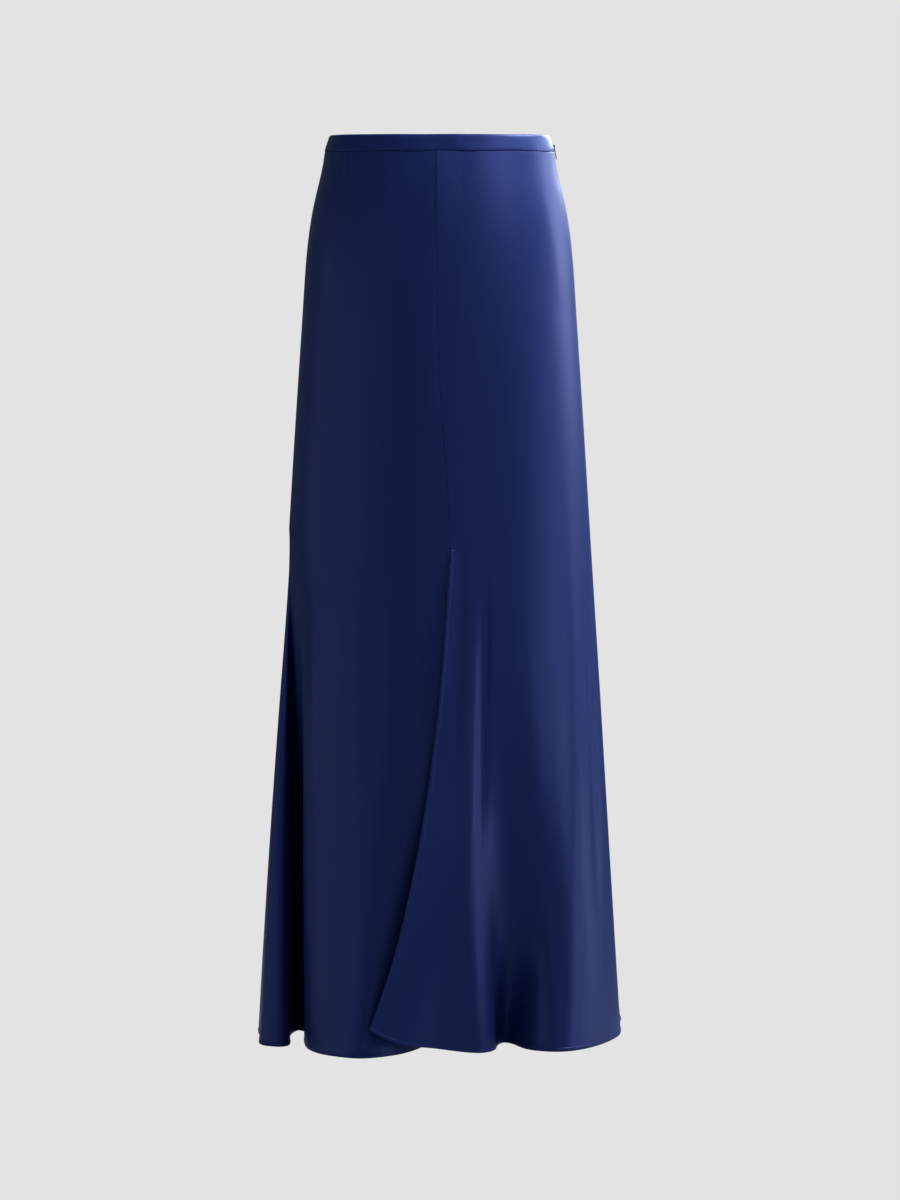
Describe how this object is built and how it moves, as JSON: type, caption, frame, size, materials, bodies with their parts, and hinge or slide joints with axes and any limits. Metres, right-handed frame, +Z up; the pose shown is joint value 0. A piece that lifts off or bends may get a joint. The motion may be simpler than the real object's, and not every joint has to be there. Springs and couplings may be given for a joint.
{
  "type": "slip skirt",
  "caption": "Long bias-cut slip skirt in navy satin with a narrow waistband, front slit and side zip.",
  "frame": {"origin": "centre of the waistband ring, half way up the band, where the wearer's waist holds it", "axes": "+Z up along the wearer, -Y to the wearer's front, +X to the wearer's left, the side with the zip"},
  "size_m": [0.426, 0.4214, 1.0439],
  "materials": {
    "satin": "heavy satin weave, soft sheen",
    "zip_tape": "matt woven tape",
    "zip_coil": "dyed nylon coil",
    "zip_metal": "semi-gloss navy enamel"
  },
  "bodies": {
    "skirt": {"front_panel_left": "satin", "front_panel_right": "satin", "back_panel": "satin", "waistband": "satin", "zip_tape_front": "zip_tape", "zip_tape_back": "zip_tape", "zip_coil": "zip_coil", "zip_slider": "zip_metal"},
    "pull_tab": {"zip_pull": "zip_metal"}
  },
  "joints": [
    {"name": "pull_swing", "type": "hinge", "parent": "skirt", "child": "pull_tab", "pos_m": [0.1323, 0, -0.003], "axis": [0, -1, 0], "range_deg": [0, 150]}
  ]
}
